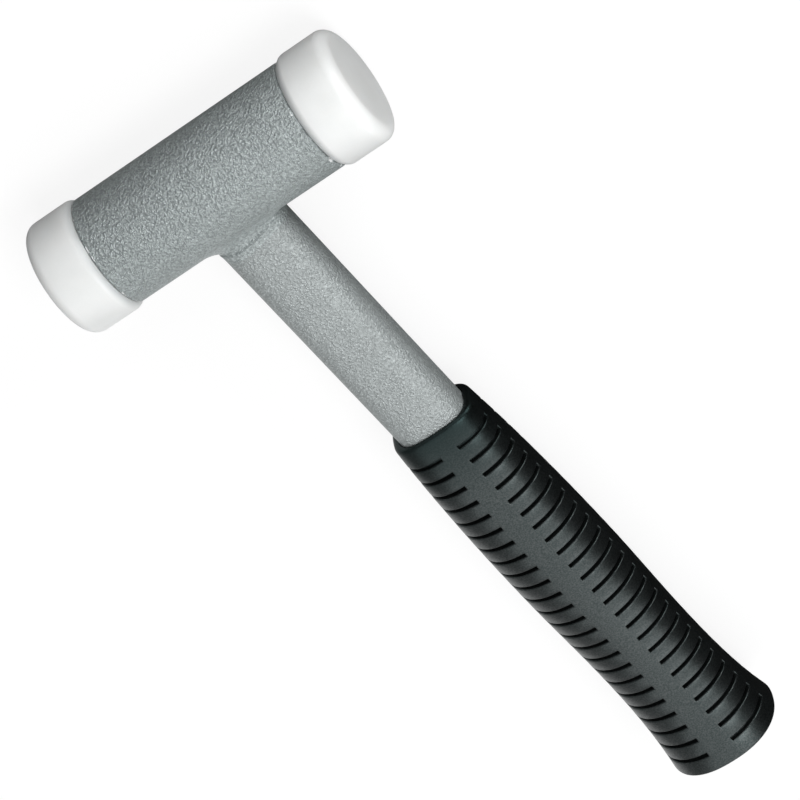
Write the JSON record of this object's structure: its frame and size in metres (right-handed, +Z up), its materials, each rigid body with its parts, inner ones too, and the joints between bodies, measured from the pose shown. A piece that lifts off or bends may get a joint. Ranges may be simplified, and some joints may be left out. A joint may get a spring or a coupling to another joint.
{
  "type": "dead blow hammer",
  "caption": "Dead blow hammer lying on its side: steel tube head with push-in nylon faces and loose shot inside, welded flat-oval handle and slotted rubber grip.",
  "frame": {"origin": "on the table the hammer lies on, under the middle of its box", "axes": "+X along the striking axis to the right face, +Y from the butt to the head, +Z up from the table"},
  "size_m": [0.1018, 0.2744, 0.035],
  "materials": {
    "enamel": "grey hammered enamel on steel, satin gloss",
    "nylon": "white turned nylon, satin",
    "rubber": "black moulded rubber, satin",
    "steel": "bright bare steel"
  },
  "bodies": {
    "hammer": {"head_tube": "enamel", "handle_tube": "enamel", "weld_fillet": "enamel", "left_chamber_disc": "steel", "right_chamber_disc": "steel", "grip": "rubber"},
    "left_face": {"left_face": "nylon"},
    "right_face": {"right_face": "nylon"},
    "shot": {"shot_01": "steel", "shot_02": "steel", "shot_03": "steel", "shot_04": "steel", "shot_05": "steel", "shot_06": "steel", "shot_07": "steel", "shot_08": "steel", "shot_09": "steel", "shot_10": "steel", "shot_11": "steel", "shot_12": "steel", "shot_13": "steel", "shot_14": "steel", "shot_15": "steel", "shot_16": "steel", "shot_17": "steel", "shot_18": "steel", "shot_19": "steel", "shot_20": "steel", "shot_21": "steel", "shot_22": "steel", "shot_23": "steel", "shot_24": "steel"}
  },
  "joints": [
    {"name": "left_face_pull", "type": "slide", "parent": "hammer", "child": "left_face", "axis": [-1, 0, 0], "range_m": [0, 0.012]},
    {"name": "right_face_pull", "type": "slide", "parent": "hammer", "child": "right_face", "axis": [1, 0, 0], "range_m": [0, 0.012]},
    {"name": "shot_surge", "type": "slide", "parent": "hammer", "child": "shot", "axis": [1, 0, 0], "range_m": [-0.005, 0.005]}
  ]
}
